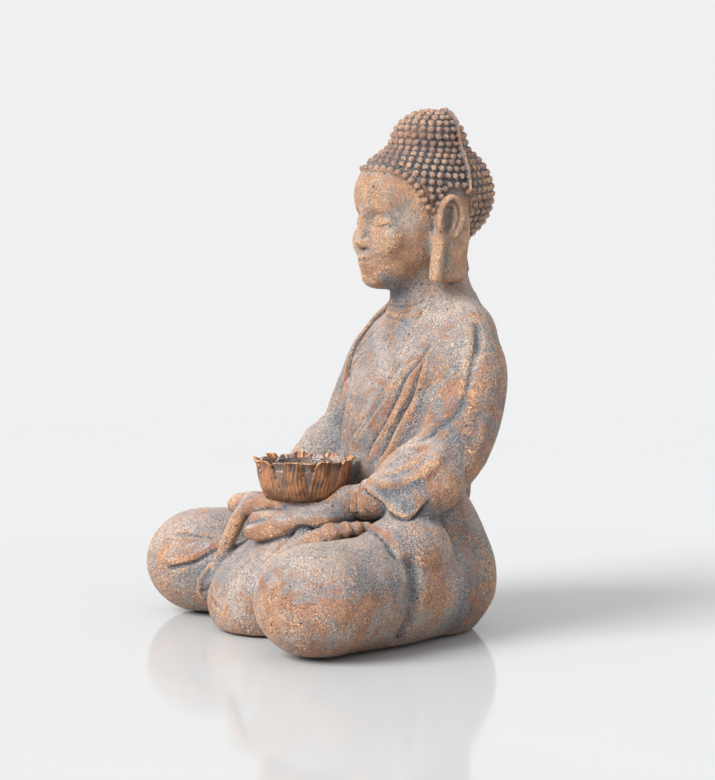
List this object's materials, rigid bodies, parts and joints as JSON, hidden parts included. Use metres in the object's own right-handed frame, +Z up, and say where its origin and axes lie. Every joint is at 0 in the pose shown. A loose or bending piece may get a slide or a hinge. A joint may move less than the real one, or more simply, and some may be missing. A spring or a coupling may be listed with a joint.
{
  "type": "seated statue with tealight bowl",
  "caption": "Hollow cast garden statue of a seated meditating figure that holds a lotus bowl with a lift-out glass cup for a tealight.",
  "frame": {"origin": "on the floor, under the middle of the statue's width and depth", "axes": "+Z up; the figure faces -Y; +X is the figure's own left side"},
  "size_m": [0.368, 0.2941, 0.48],
  "materials": {
    "patina_casting": "cast stone painted blue-grey with rubbed copper and pale gold",
    "lotus_casting": "cast stone painted copper brown with grey in the grooves",
    "matting": "rough resin and glass-fibre matting",
    "base_board": "rough grey board",
    "plug_rubber": "matt black rubber",
    "pad_felt": "dark grey felt",
    "peg_metal": "plain turned",
    "cup_glass": "clear pressed glass"
  },
  "bodies": {
    "statue": {"front_shell": "patina_casting", "rear_shell": "patina_casting", "seam_strip_left": "matting", "seam_strip_right": "matting", "base_panel": "base_board", "drain_plug": "plug_rubber", "foot_pad_front_left": "pad_felt", "foot_pad_front_right": "pad_felt", "foot_pad_rear_left": "pad_felt", "foot_pad_rear_right": "pad_felt", "lotus_bowl": "lotus_casting", "lotus_peg": "peg_metal"},
    "cup": {"glass_cup": "cup_glass"}
  },
  "joints": [
    {"name": "cup_lift", "type": "slide", "parent": "statue", "child": "cup", "axis": [0, 0, 1], "range_m": [0, 0.06]}
  ]
}
